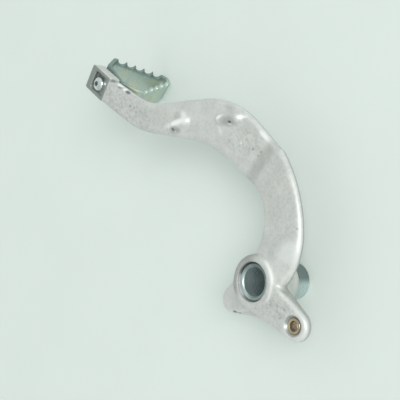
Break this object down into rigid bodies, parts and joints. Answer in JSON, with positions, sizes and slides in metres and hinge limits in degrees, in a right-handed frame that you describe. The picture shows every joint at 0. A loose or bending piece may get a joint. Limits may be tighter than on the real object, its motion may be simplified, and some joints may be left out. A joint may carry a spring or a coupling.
{
  "type": "rear brake pedal",
  "caption": "Bent cast-aluminium foot pedal with a pivot boss, a bushed clevis lug, a spring tab and a toothed folded-sheet toe step.",
  "frame": {"origin": "on the pivot axis, at the outer end of the pivot sleeve", "axes": "+Z along the pivot axis towards the machine; +Y up as fitted, square to the tread; the toe step lies on -X and the clevis lug on +X"},
  "size_m": [0.2294, 0.0976, 0.0548],
  "materials": {
    "cast_aluminium": "matt as-cast skin, bright on worn edges, with machined faces",
    "zinc_plated_sleeve": "turned, with clear bluish zinc plating",
    "bronze_bush": "plain bearing bronze",
    "zinc_plated_step": "pressed sheet with greenish-yellow zinc plating",
    "bright_fastener": "bright zinc"
  },
  "bodies": {
    "root": {"pedal_arm": "cast_aluminium", "pivot_sleeve": "zinc_plated_sleeve", "clevis_bush": "bronze_bush", "toe_step": "zinc_plated_step", "step_screw": "bright_fastener", "step_nut": "bright_fastener"}
  },
  "joints": []
}
